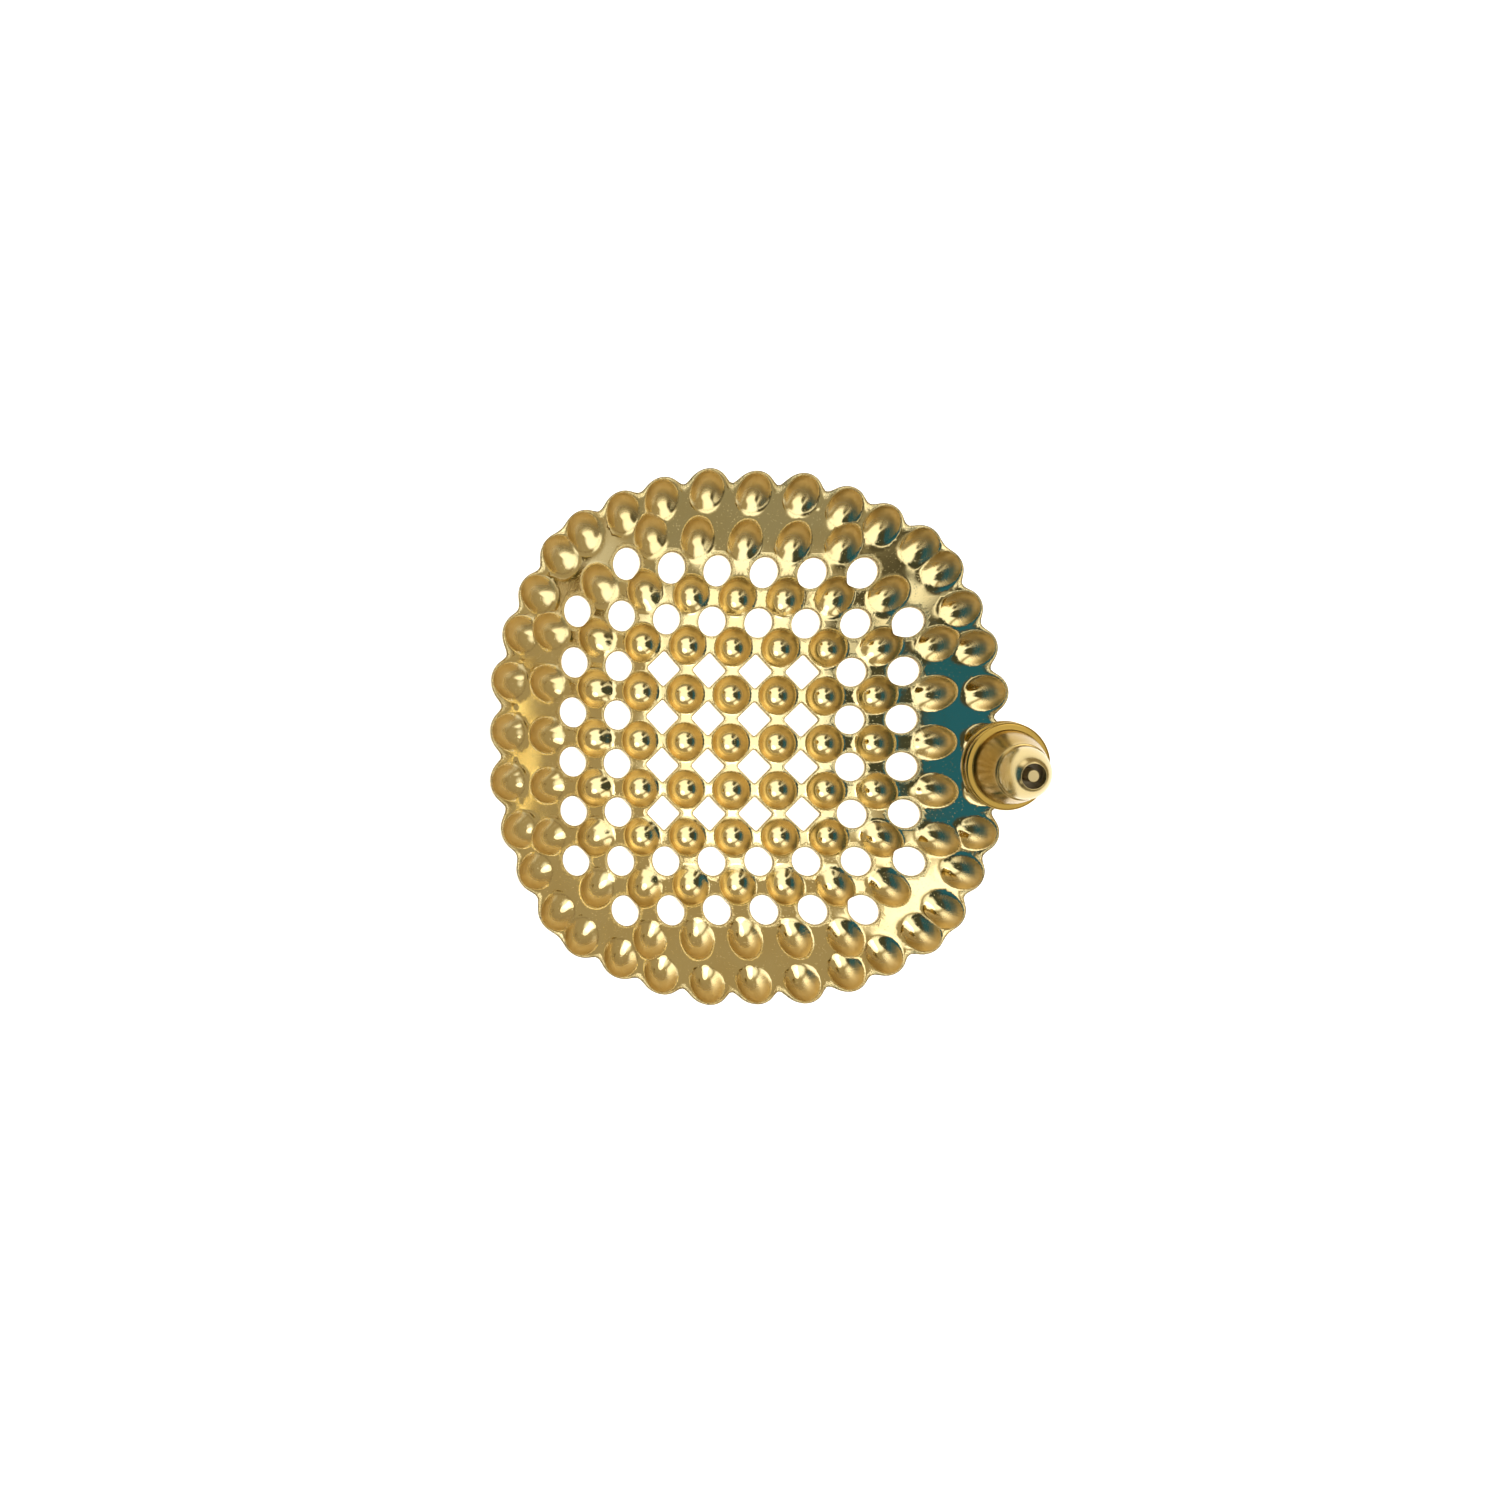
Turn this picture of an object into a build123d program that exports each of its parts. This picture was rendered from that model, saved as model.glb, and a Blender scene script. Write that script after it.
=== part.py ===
from build123d import *

import os
from itertools import product
from math import asin, cos, degrees, hypot, pi, radians, sin, tan

# Openwork domed stud earring: stamped beaded plate, soldered post and bullet clutch.
#
# Millimetres. The dome's axis is +Z and its beaded front faces down: the origin is under the
# lowest bead, and the post stands up out of the hollow back, beside the +X rim.

os.makedirs("parts", exist_ok=True)

# Stamped plate
PITCH = 2.9  # spacing of the beads and of the holes
SHEET = 0.3
BEAD_R = 1.43  # outside radius of a bead's ball on the middle of the bowl
BEAD_RAISE = 0.29  # centre of that ball over the sheet's hollow side
# Past this slope of the bowl the beads get shallower and lie further out, by these each unit
MIDDLE_SLOPE = 0.4
BEAD_R_GAIN = 0.72
BEAD_RAISE_GAIN = 1.45
BEAD_OUT_GAIN = 0.67
SLOPE_STEP = 0.1  # beads on slopes this alike share a size
GRID_REACH = 4  # furthest bead or hole from the centre line, in pitches
GRID_CORNER = 6  # largest x + y of a bead or hole, in pitches
DIAMOND_REACH = 1.5  # the holes this near the centre are diamonds, in pitches
HOLE_R = 0.87
DIAMOND_SIDE = 1.54  # across the flats of a diamond hole
DIAMOND_ROUND = 0.15
# The rim beads from the +Y axis to the corner, in pitches. The rest are their mirror images.
RIM_BEADS = ((0, 4.88), (0.97, 4.87), (1.88, 4.65), (2.67, 4.34), (3.45, 3.92))
VALLEY_OUT = 0.21 * PITCH  # the plate's edge between two rim beads, outside their centres

# Height of the bowl's hollow side over its middle, in pitches at radius r and angle a:
# DEPTH_2 r^2 + DEPTH_4 r^4 + SQUARE r^4 cos(4a) - FLAT_8 r^8
DEPTH_2 = 0.0480
DEPTH_4 = 0.00151
SQUARE = 0.000122
FLAT_8 = 6.46e-7
BOWL_R = 5.9  # past this radius, in pitches, outside the plate, the bowl runs on straight
BOWL_SLOPE = 0.5
BOWL_SPAN = 6.0 * PITCH  # half the side of the surface that the sheet is cut from
BOWL_STEPS = 6  # points along that side, each way from the middle
HOLLOW = 6.0  # depth of the space kept clear over the bowl

# Post
POST_R = 0.355
POST_AT = (4.88 * PITCH, -0.33 * PITCH)
LEAN_X = -4.05  # degrees from +Z towards +X
LEAN_Y = -9.65  # degrees from +Z towards +Y
POST_FOOT = 0.45  # foot of the post over the sheet, bridged by solder
POST_END = 10.0
NOTCH_AT = 8.6  # friction notch, centre
NOTCH_WIDE = 0.35
NOTCH_R = 0.28
SOLDER_R = 0.85
SOLDER_TALL = 1.1

# Bullet clutch, measured up the post from the clutch's underside
CLUTCH_AT = 4.3  # underside over the sheet
FLANGE_R = 2.575
BASE_THICK = 0.3
BASE_HOLE_R = 0.55
LIP_UP = 0.48  # top of the base's curled lip
LIP_WIDE = 0.28
SPIGOT_R = 1.6
SPIGOT_UP = 1.0
GROOVE_R = 2.2
FLANGE_LOW = 0.8
FLANGE_UP = 1.15
BODY_FOOT_R = 2.12
BODY_R = 1.64
BODY_UP = 3.7
BAND_R = 1.5
BAND_UP = 4.2
NOSE_R = 1.1
NOSE_UP = 5.42
CLUTCH_TALL = 5.8
NOSE_HOLE_R = 0.71
NOSE_HOLE_FROM = 5.15
GRIP_R = 1.2
GRIP_UP = 4.6
GRIP_BORE_R = POST_R + 0.03
RUN = 0.05  # running clearance between the grip and the metal around it


def bowl_height(x, y):
    """Height of the bowl's hollow side at x, y."""
    beyond = max(0, hypot(x, y) / PITCH - BOWL_R)
    inside = BOWL_R / (BOWL_R + beyond) / PITCH
    a, b = x * inside, y * inside
    r2 = a * a + b * b
    square = a**4 - 6 * a * a * b * b + b**4
    depth = DEPTH_2 * r2 + DEPTH_4 * r2**2 + SQUARE * square - FLAT_8 * r2**4
    return BEAD_R - BEAD_RAISE + PITCH * (depth + BOWL_SLOPE * beyond)


def grid_points(first):
    """The square grid of places, a pitch apart from first, that the plate's outline leaves."""
    count = int(2 * first) + 1
    line = [first - k for k in range(count)]
    return [
        (a * PITCH, b * PITCH)
        for a, b in product(line, line)
        if abs(a) + abs(b) <= GRID_CORNER
    ]


def rim_points():
    """The rim beads' centres in order around the plate."""
    octant = [(a * PITCH, b * PITCH) for a, b in RIM_BEADS]
    quarter = octant + [(b, a) for a, b in reversed(octant[1:])]
    ring = []
    for turn in range(4):
        c, s = round(cos(turn * pi / 2)), round(sin(turn * pi / 2))
        ring += [(a * c + b * s, b * c - a * s) for a, b in quarter]
    return ring


def valley_points(ring):
    """The plate's edge midway between neighbouring rim beads."""
    points = []
    for k, (x0, y0) in enumerate(ring):
        x1, y1 = ring[(k + 1) % len(ring)]
        along = Vector(x1 - x0, y1 - y0).normalized()
        points.append(((x0 + x1) / 2 - along.Y * VALLEY_OUT, (y0 + y1) / 2 + along.X * VALLEY_OUT))
    return points


def bowl_slopes(x, y):
    """The bowl's slopes along X and Y at x, y."""
    d = 0.01
    slope_x = (bowl_height(x + d, y) - bowl_height(x - d, y)) / (2 * d)
    slope_y = (bowl_height(x, y + d) - bowl_height(x, y - d)) / (2 * d)
    return slope_x, slope_y


def bowl_plane(x, y):
    """The plane that touches the bowl at x, y."""
    slope_x, slope_y = bowl_slopes(x, y)
    return Plane((x, y, bowl_height(x, y)), z_dir=(-slope_x, -slope_y, 1))


def bead_groups(points):
    """For each size of bead among points: its radius, its raise and the planes at its centres."""
    past = [max(0, hypot(*bowl_slopes(x, y)) - MIDDLE_SLOPE) for x, y in points]
    steps = [round(slope / SLOPE_STEP) for slope in past]
    groups = []
    for step in sorted(set(steps)):
        slope = step * SLOPE_STEP
        up = BEAD_RAISE + BEAD_RAISE_GAIN * slope
        planes = []
        for (x, y), own in zip(points, steps):
            if own == step:
                out = 1 + BEAD_OUT_GAIN * slope / max(PITCH, hypot(x, y))
                planes.append(bowl_plane(x * out, y * out).offset(up))
        groups.append((BEAD_R + BEAD_R_GAIN * slope, up, planes))
    return groups


BEADS = grid_points(GRID_REACH) + rim_points()
HOLES = grid_points(GRID_REACH - 0.5)
DIAMONDS = [p for p in HOLES if max(abs(p[0]), abs(p[1])) <= DIAMOND_REACH * PITCH]
ROUND_HOLES = [p for p in HOLES if p not in DIAMONDS]
OWN_CENTRE = (Align.NONE, Align.NONE, Align.NONE)
BEAD_GROUPS = bead_groups(BEADS)

STEP = BOWL_SPAN / BOWL_STEPS
SIDE = [k * STEP for k in range(-BOWL_STEPS, BOWL_STEPS + 1)]
bowl = Face.make_surface_from_array_of_points(
    [[Vector(x, y, bowl_height(x, y)) for x in SIDE] for y in SIDE], tol=0.002
)

with BuildPart() as beaded_shell:
    thicken(bowl, SHEET, normal_override=(0, 0, -1))
    with BuildSketch():
        with BuildLine():
            Spline(*valley_points(rim_points()), periodic=True)
        make_face()
    extrude(amount=2 * HOLLOW, mode=Mode.INTERSECT)
    for radius, up, planes in BEAD_GROUPS:
        cap_angle = -degrees(asin((up + SHEET / 2) / radius))  # it ends halfway through the sheet
        with Locations(*planes):
            Sphere(radius, arc_size2=cap_angle, align=OWN_CENTRE)
    for radius, up, planes in BEAD_GROUPS:
        with Locations(*planes):
            Sphere(radius - SHEET, mode=Mode.SUBTRACT)
    with BuildSketch():
        with Locations(*ROUND_HOLES):
            Circle(HOLE_R)
        with Locations(*DIAMONDS):
            RectangleRounded(DIAMOND_SIDE, DIAMOND_SIDE, DIAMOND_ROUND, rotation=45)
    extrude(amount=2 * HOLLOW, mode=Mode.SUBTRACT)
beaded_shell.part.label = "beaded_shell"

POST_PLANE = Plane(
    origin=(*POST_AT, bowl_height(*POST_AT)),
    x_dir=(1, 0, -tan(radians(LEAN_X))),
    z_dir=(tan(radians(LEAN_X)), tan(radians(LEAN_Y)), 1),
)
POST_SECTION = Plane(POST_PLANE.origin, x_dir=POST_PLANE.x_dir, z_dir=-POST_PLANE.y_dir)
CLUTCH_FOOT = POST_PLANE.offset(CLUTCH_AT).origin
CLUTCH_SECTION = Plane(CLUTCH_FOOT, x_dir=POST_PLANE.x_dir, z_dir=-POST_PLANE.y_dir)

with BuildPart() as ear_post:
    with BuildSketch(POST_PLANE.offset(POST_FOOT)):
        Circle(POST_R)
    extrude(amount=POST_END - POST_FOOT)
    fillet(ear_post.faces().sort_by(Axis.Z)[-1].edges(), 0.12)
    with BuildSketch(POST_PLANE.offset(NOTCH_AT - NOTCH_WIDE / 2)):
        Circle(POST_R + 0.1)
        Circle(NOTCH_R, mode=Mode.SUBTRACT)
    extrude(amount=NOTCH_WIDE, mode=Mode.SUBTRACT)
ear_post.part.label = "ear_post"

# The room over the sheet beside the post, with the hollows of the two nearest rim beads
BESIDE = sorted(rim_points(), key=lambda p: hypot(p[0] - POST_AT[0], p[1] - POST_AT[1]))[:2]
with BuildPart() as open_side:
    thicken(bowl, HOLLOW, normal_override=(0, 0, 1))
    for radius, up, planes in bead_groups(BESIDE):
        with Locations(*planes):
            Sphere(radius - SHEET)

with BuildPart() as solder_joint:
    with BuildSketch(POST_SECTION):
        with BuildLine():
            Polyline((0, SOLDER_TALL), (0, -SOLDER_R), (SOLDER_R, -SOLDER_R), (SOLDER_R, 0.1))
            ThreePointArc((SOLDER_R, 0.1), (0.5, 0.45), (POST_R, SOLDER_TALL))
            Line((POST_R, SOLDER_TALL), (0, SOLDER_TALL))
        make_face()
    revolve(axis=Axis(POST_PLANE.origin, POST_PLANE.z_dir))
    add(open_side, mode=Mode.INTERSECT)
    add(ear_post, mode=Mode.SUBTRACT)
solder_joint.part.label = "solder_joint"

CLUTCH_AXIS = Axis(CLUTCH_SECTION.origin, POST_PLANE.z_dir)

with BuildPart() as clutch_base:
    with BuildSketch(CLUTCH_SECTION):
        with BuildLine():
            Polyline(
                (BASE_HOLE_R, 0),
                (FLANGE_R - LIP_WIDE / 2, 0),
            )
            Line((FLANGE_R, LIP_WIDE / 2), (FLANGE_R, LIP_UP - LIP_WIDE / 2))
            Line((FLANGE_R - LIP_WIDE, LIP_UP - LIP_WIDE / 2), (FLANGE_R - LIP_WIDE, BASE_THICK))
            RadiusArc((FLANGE_R - LIP_WIDE / 2, 0), (FLANGE_R, LIP_WIDE / 2), -LIP_WIDE / 2)
            ThreePointArc(
                (FLANGE_R, LIP_UP - LIP_WIDE / 2),
                (FLANGE_R - LIP_WIDE / 2, LIP_UP),
                (FLANGE_R - LIP_WIDE, LIP_UP - LIP_WIDE / 2),
            )
            Polyline(
                (FLANGE_R - LIP_WIDE, BASE_THICK),
                (SPIGOT_R, BASE_THICK),
                (SPIGOT_R, SPIGOT_UP),
                (GRIP_R + RUN, SPIGOT_UP),
                (GRIP_R + RUN, BASE_THICK),
                (BASE_HOLE_R, BASE_THICK),
                (BASE_HOLE_R, 0),
            )
        make_face()
    revolve(axis=CLUTCH_AXIS)
clutch_base.part.label = "clutch_base"

with BuildPart() as clutch_shell:
    with BuildSketch(CLUTCH_SECTION):
        with BuildLine():
            Polyline(
                (GRIP_R + RUN, SPIGOT_UP),
                (SPIGOT_R, SPIGOT_UP),
                (SPIGOT_R, BASE_THICK),
                (GROOVE_R, BASE_THICK),
                (GROOVE_R, FLANGE_LOW),
                (FLANGE_R - 0.15, FLANGE_LOW),
            )
            ThreePointArc(
                (FLANGE_R - 0.15, FLANGE_LOW),
                (FLANGE_R, (FLANGE_LOW + FLANGE_UP) / 2),
                (FLANGE_R - 0.15, FLANGE_UP),
            )
            Line((FLANGE_R - 0.15, FLANGE_UP), (BODY_FOOT_R, FLANGE_UP + 0.05))
            Spline(
                (BODY_FOOT_R, FLANGE_UP + 0.05),
                (BODY_R, BODY_UP),
                tangents=((-0.05, 1), (-0.3, 1)),
            )
            Line((BODY_R, BODY_UP), (BAND_R, BODY_UP + 0.12))
            Line((BAND_R, BODY_UP + 0.12), (BAND_R, BAND_UP))
            Spline(
                (BAND_R, BAND_UP),
                (NOSE_R, NOSE_UP),
                (NOSE_HOLE_R, CLUTCH_TALL),
                tangents=((0, 1), (-1, 0.5)),
            )
            Polyline(
                (NOSE_HOLE_R, CLUTCH_TALL),
                (NOSE_HOLE_R, NOSE_HOLE_FROM),
                (GRIP_R + RUN, GRIP_UP + RUN),
                (GRIP_R + RUN, SPIGOT_UP),
            )
        make_face()
    revolve(axis=CLUTCH_AXIS)
clutch_shell.part.label = "clutch_shell"

with BuildPart() as clutch_grip:
    with BuildSketch(CLUTCH_SECTION):
        with BuildLine():
            Polyline(
                (GRIP_BORE_R, BASE_THICK + RUN),
                (GRIP_R, BASE_THICK + RUN),
                (GRIP_R, GRIP_UP),
                (GRIP_BORE_R, GRIP_UP),
                (GRIP_BORE_R, BASE_THICK + RUN),
            )
        make_face()
    revolve(axis=CLUTCH_AXIS)
clutch_grip.part.label = "clutch_grip"

for piece in (beaded_shell, solder_joint, ear_post, clutch_base, clutch_shell, clutch_grip):
    export_step(piece.part, f"parts/{piece.part.label}.step", write_pcurves=False)
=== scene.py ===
"""Looks of the openwork stud earring: beaded plate, soldered post and bullet clutch.

The plate is worked out in pitches, the spacing of its beads, and becomes metres in make_plate.
The turned pieces are profiles of (r, z) in millimetres up the post, and become metres in lathe.
"""

import bmesh
import bpy
import numpy as np
from math import atan2, ceil, cos, pi, radians, sin, sqrt, tan
from mathutils import Matrix, Vector
from mathutils.geometry import delaunay_2d_cdt


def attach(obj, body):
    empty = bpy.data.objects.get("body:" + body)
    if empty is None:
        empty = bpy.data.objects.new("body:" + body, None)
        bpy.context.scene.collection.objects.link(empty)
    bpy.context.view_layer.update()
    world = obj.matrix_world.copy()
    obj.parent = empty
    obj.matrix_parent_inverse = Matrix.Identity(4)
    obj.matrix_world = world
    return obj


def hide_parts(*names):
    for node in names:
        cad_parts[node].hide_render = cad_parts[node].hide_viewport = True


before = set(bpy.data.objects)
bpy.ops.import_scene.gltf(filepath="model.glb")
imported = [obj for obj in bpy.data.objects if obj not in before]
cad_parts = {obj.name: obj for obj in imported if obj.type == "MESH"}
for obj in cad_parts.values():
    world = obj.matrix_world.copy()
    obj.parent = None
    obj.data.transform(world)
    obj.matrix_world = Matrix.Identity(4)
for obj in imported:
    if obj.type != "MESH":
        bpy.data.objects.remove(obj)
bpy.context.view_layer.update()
MM = 0.001

# Plate, in pitches
PITCH_MM = 2.9
SHEET = 0.0966  # thickness
# A bead's hollow is an ellipsoid in the sheet's own frame: across the slope, along it, into
# the sheet, its centre's height over the sheet, and how far it lies outward of its place.
# The beads of the bowl's level middle are balls; those on its steep outside are long.
BEAD_LEVEL = np.array((0.39, 0.39, 0.39, 0.10, 0.0))
BEAD_STEEP = np.array((0.37, 0.505, 0.33, 0.155, 0.10))
LEVEL_SLOPE, STEEP_SLOPE = 0.42, 0.68
WALL_SLOPE = 5.1  # a bead's wall runs straight where it gets this steep
LOWEST = 0.3931  # the sheet's hollow side over the resting surface, at the middle
GRID_REACH = 4  # the bead grid's last row and column
GRID_CORNER = 6  # the grid's corners are left out past this x + y
DIAMOND_REACH = 1.5  # holes up to this far from the middle lines are diamonds
HOLE_R = 0.30
DIAMOND_SIDE = 0.265  # centre of a diamond hole to its flat
DIAMOND_ROUND = 0.055  # radius of a diamond hole's corners
# the rim's beads from the middle of a side to its corner, which repeat all the way round
RIM_BEADS = ((0, 4.86), (0.97, 4.855), (1.88, 4.64), (2.67, 4.33), (3.45, 3.91))
SCALLOP_R = 0.49  # edge of the plate round each rim bead
SCALLOP_BLEND = 0.24  # softness of the dips between them
SHOULDER = 0.06  # softness of the edge between a bead's wall and the sheet
FRONT_SHOULDER = 0.035  # the same on the beaded front
EDGE_ROLL = 0.035  # rounding of the holes' edges
RIM_ROLL = 0.11  # rounding of the plate's edge
DEPTH_2, DEPTH_4, SQUARE, FLAT_8 = 0.0480, 0.00151, 0.000122, 6.46e-7  # the bowl's terms
WAVES = ((0.004, (2.1, 0.0, 0.7), (0.0, 1.7, -0.4)), (0.003, (5.3, 2.2, 0.3), (-1.9, 4.7, 0.0)))
BEAD_STRAY = 0.005  # how far beads stray from their places, as a standard deviation
BEAD_VARY = 0.006  # and how much their sizes vary

# The plate's mesh
BEAD_SEGMENTS = 32
BEAD_RINGS = (0.2, 0.42, 0.62, 0.77, 0.87, 0.925, 0.965, 1.005, 1.045, 1.09, 1.135, 1.185,
              1.24)  # across each bead's opening
EDGE_OFFSETS = (0.007, 0.018, 0.035)  # rows of points beside each cut edge
HOLE_SEGMENTS = 40
RIM_SEGMENTS = 648
FILL = 0.074  # spacing of the plain band's mesh

# Where in a bead's opening the wall's look and the lip's look lie, for the material
WALL_TILT = (26, 46)
WALL_FADE = (1.0, 1.08)
LIP_AT, LIP_HALF = 1.06, 0.07
EDGE_WORN = 0.06

# Post and clutch
POST_AT = (4.88, -0.33)  # in pitches
LEAN_X, LEAN_Y = -4.05, -9.65  # degrees from upright
CLUTCH_UP = 4.3  # the clutch's foot up the post, in millimetres


def bowl(x, y):
    """Height of the sheet's hollow side at x, y, in pitches."""
    r2 = x * x + y * y
    square = x**4 - 6 * x * x * y * y + y**4
    return LOWEST + DEPTH_2 * r2 + DEPTH_4 * r2**2 + SQUARE * square - FLAT_8 * r2**4


def bowl_slopes(x, y):
    e = 0.01
    gx = (bowl(x + e, y) - bowl(x - e, y)) / (2 * e)
    gy = (bowl(x, y + e) - bowl(x, y - e)) / (2 * e)
    return np.stack([gx, gy], axis=-1)


def grid_points(first):
    line = [first - k for k in range(int(2 * first) + 1)]
    return [(a, b) for a in line for b in line if abs(a) + abs(b) <= GRID_CORNER]


def rim_points():
    quarter = list(RIM_BEADS) + [(b, a) for a, b in reversed(RIM_BEADS[1:])]
    ring = []
    for turn in range(4):
        c, s = round(cos(turn * pi / 2)), round(sin(turn * pi / 2))
        ring += [(a * c + b * s, b * c - a * s) for a, b in quarter]
    return ring


RNG = np.random.default_rng(7)
RIM = np.array(rim_points())
RIM_AT = np.arctan2(RIM[:, 1], RIM[:, 0])
RIM_ORDER = np.argsort(RIM_AT)
BEADS = np.vstack([np.array(grid_points(GRID_REACH), float), RIM])
BEAD_SHIFT = RNG.normal(0, BEAD_STRAY, BEADS.shape)
BEAD_SIZE = RNG.normal(1, BEAD_VARY, len(BEADS))
STEEPNESS = np.linalg.norm(bowl_slopes(BEADS[:, 0], BEADS[:, 1]), axis=1)
STEEPNESS = np.clip((STEEPNESS - LEVEL_SLOPE) / (STEEP_SLOPE - LEVEL_SLOPE), 0, 1)[:, None]
SHAPES = BEAD_LEVEL + (BEAD_STEEP - BEAD_LEVEL) * STEEPNESS
AXES, RAISE = SHAPES[:, :3] * BEAD_SIZE[:, None], SHAPES[:, 3]
OUTWARD = BEADS / np.maximum(np.linalg.norm(BEADS, axis=1), 1)[:, None]
PLACES = BEADS + BEAD_SHIFT + OUTWARD * SHAPES[:, 4:]
SLOPES = bowl_slopes(PLACES[:, 0], PLACES[:, 1])
STEEP = np.maximum(np.linalg.norm(SLOPES, axis=1), 1e-6)
UPHILL = SLOPES / STEEP[:, None]
UPRIGHT = 1 / np.sqrt(1 + STEEP**2)
LEAN = STEEP * UPRIGHT
OPENING = AXES[:, :2] * np.sqrt(1 - (RAISE / AXES[:, 2]) ** 2)[:, None]
PLACE_Z = bowl(PLACES[:, 0], PLACES[:, 1])
HOLES = np.array(grid_points(GRID_REACH - 0.5), float)
IS_DIAMOND = np.abs(HOLES).max(axis=1) <= DIAMOND_REACH


def soft_min(a, b, k):
    h = np.clip(0.5 + 0.5 * (b - a) / k, 0, 1)
    return b * (1 - h) + a * h - k * h * (1 - h)


def bead_offsets(x, y):
    """Level distances from every bead's place, up the slope there and across it."""
    dx, dy = x[:, None] - PLACES[:, 0], y[:, None] - PLACES[:, 1]
    return dx * UPHILL[:, 0] + dy * UPHILL[:, 1], dy * UPHILL[:, 0] - dx * UPHILL[:, 1]


def opening_distances(x, y):
    """How far out of each bead's opening a point lies: 1 on the opening's edge."""
    along, across = bead_offsets(x, y)
    return np.hypot(along / UPRIGHT / OPENING[:, 1], across / OPENING[:, 0])


def punched(base, x, y, grow, k):
    """The sheet at height base with the beads pressed into it, ellipsoids grown by grow."""
    i = np.argsort(opening_distances(x, y), axis=1)[:, :3]
    along, across = (np.take_along_axis(v, i, axis=1) for v in bead_offsets(x, y))
    wide, long, deep = (AXES[i, axis] + grow for axis in range(3))
    c, s, h = UPRIGHT[i], LEAN[i], RAISE[i]
    # the ellipsoid's underside at this place is the lower root of a z^2 + 2 b z + d = 0
    a = (s / long) ** 2 + (c / deep) ** 2
    b = along * c * s / long**2 - (along * s + h) * c / deep**2
    d = (along * c / long) ** 2 + ((along * s + h) / deep) ** 2 + (across / wide) ** 2 - 1
    inside = b * b - a * d
    least = a / WALL_SLOPE**2
    root = np.sqrt(np.maximum(inside, least)) - np.maximum(least - inside, 0) / (2 * np.sqrt(least))
    depths = PLACE_Z[i] - (b + root) / a
    stack = np.hstack([base[:, None], depths])
    low = stack.min(axis=1)
    return low - k * np.log(np.exp(-(stack - low[:, None]) / k).sum(axis=1))


def rim_sdf(x, y):
    """Signed distance to the scalloped edge, in pitches: negative inside."""
    d = np.sort(np.hypot(x[:, None] - RIM[:, 0], y[:, None] - RIM[:, 1]), axis=1) - SCALLOP_R
    ring = soft_min(d[:, 0], d[:, 1], SCALLOP_BLEND)
    at, far = RIM_AT[RIM_ORDER], np.hypot(RIM[:, 0], RIM[:, 1])[RIM_ORDER]
    within = np.hypot(x, y) - np.interp(np.arctan2(y, x), at, far, period=2 * pi)
    return np.minimum(ring, within)


def hole_sdf(x, y):
    """Signed distance to the nearest hole's edge, in pitches: negative inside the hole."""
    dx = np.abs(x[:, None] - HOLES[:, 0])
    dy = np.abs(y[:, None] - HOLES[:, 1])
    round_hole = np.hypot(dx, dy) - HOLE_R
    s = DIAMOND_SIDE - DIAMOND_ROUND
    along = (dx + dy) / sqrt(2)
    across = np.abs(dx - dy) / sqrt(2)
    q0, q1 = np.maximum(along - s, 0), np.maximum(across - s, 0)
    diamond = np.hypot(q0, q1) + np.minimum(np.maximum(along, across) - s, 0) - DIAMOND_ROUND
    return np.where(IS_DIAMOND, diamond, round_hole).min(axis=1)


def edge_distance(x, y):
    return np.minimum(hole_sdf(x, y), -rim_sdf(x, y))


def back_height(x, y):
    """The hollow side that the ear post stands on."""
    sheet = bowl(x, y)
    for high, (a, b, c), (d, e, f) in WAVES:
        sheet = sheet + high * np.sin(a * x + b * y + c) * np.sin(d * x + e * y + f)
    z = punched(sheet, x, y, 0, SHOULDER)
    u = np.clip(1 - hole_sdf(x, y) / EDGE_ROLL, 0, 0.9)
    v = np.clip(1 + rim_sdf(x, y) / RIM_ROLL, 0, 0.9)
    return z - EDGE_ROLL * (1 - np.sqrt(1 - u * u)) - RIM_ROLL * (1 - np.sqrt(1 - v * v))


def front_height(x, y):
    """The beaded front, a sheet's thickness below."""
    sheet = bowl(x, y) - SHEET * np.sqrt(1 + (bowl_slopes(x, y) ** 2).sum(axis=1))
    z = punched(sheet, x, y, SHEET, FRONT_SHOULDER)
    u = np.clip(1 - edge_distance(x, y) / EDGE_ROLL, 0, 0.9)
    return z + 0.5 * EDGE_ROLL * (1 - np.sqrt(1 - u * u))


def normals(height, x, y):
    e = 0.0015
    gx = (height(x + e, y) - height(x - e, y)) / (2 * e)
    gy = (height(x, y + e) - height(x, y - e)) / (2 * e)
    n = np.stack([-gx, -gy, np.ones_like(gx)], axis=1)
    return n / np.linalg.norm(n, axis=1)[:, None]


def hole_loop(k, inset):
    """Points around hole k, inset outside its edge."""
    cx, cy = HOLES[k]
    points = []
    if not IS_DIAMOND[k]:
        for n in range(HOLE_SEGMENTS):
            a = 2 * pi * n / HOLE_SEGMENTS
            points.append((cx + (HOLE_R + inset) * cos(a), cy + (HOLE_R + inset) * sin(a)))
        return points
    s = DIAMOND_SIDE - DIAMOND_ROUND
    r = DIAMOND_ROUND + inset
    for corner in range(4):
        a0 = corner * pi / 2
        px, py = cx + s * sqrt(2) * cos(a0), cy + s * sqrt(2) * sin(a0)
        for n in range(7):
            a = a0 + radians(-45 + 15 * n)
            points.append((px + r * cos(a), py + r * sin(a)))
        a1 = a0 + radians(45)
        x0, y0 = px + r * cos(a1), py + r * sin(a1)
        qx, qy = cx - s * sqrt(2) * sin(a0), cy + s * sqrt(2) * cos(a0)
        x1, y1 = qx + r * cos(a1), qy + r * sin(a1)
        for n in range(1, 7):
            points.append((x0 + (x1 - x0) * n / 7, y0 + (y1 - y0) * n / 7))
    return points


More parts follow.
